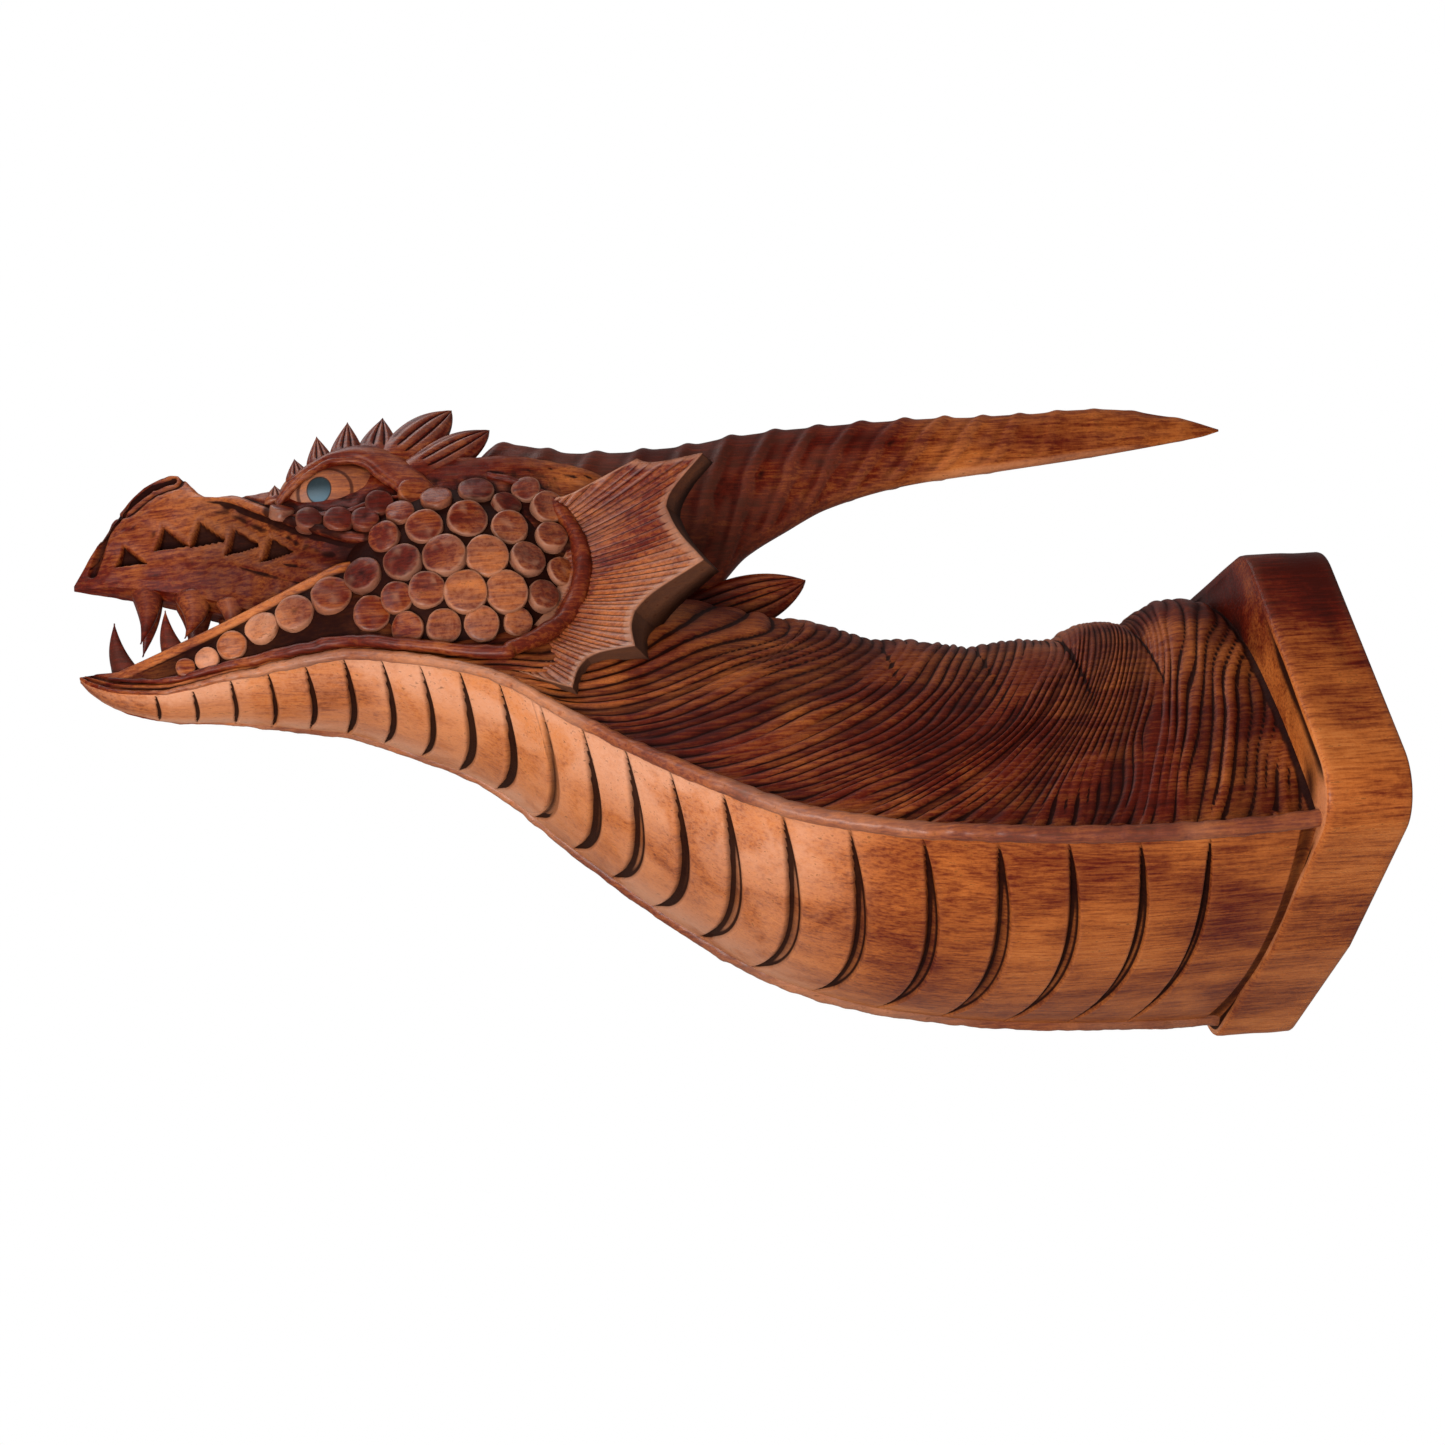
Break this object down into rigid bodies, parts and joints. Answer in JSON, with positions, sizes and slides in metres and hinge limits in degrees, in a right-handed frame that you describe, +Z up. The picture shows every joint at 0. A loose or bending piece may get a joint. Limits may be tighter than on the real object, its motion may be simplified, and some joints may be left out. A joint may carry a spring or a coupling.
{
  "type": "dragon head wall carving",
  "caption": "Carved hardwood dragon head on a long scaled neck with a swept-back horn and frills, cut in one with a flat-backed wall plaque.",
  "frame": {"origin": "on the flat back of the plaque, on the middle plane, level with the middle of the neck where it meets the plaque", "axes": "+Z up, +Y into the wall, the beak points to -Y, and X = 0 is the carving's middle plane"},
  "size_m": [0.2138, 0.502, 0.2711],
  "materials": {
    "oiled_hardwood": "oiled reddish-brown hardwood, satin"
  },
  "bodies": {
    "root": {"dragon_head": "oiled_hardwood"}
  },
  "joints": []
}
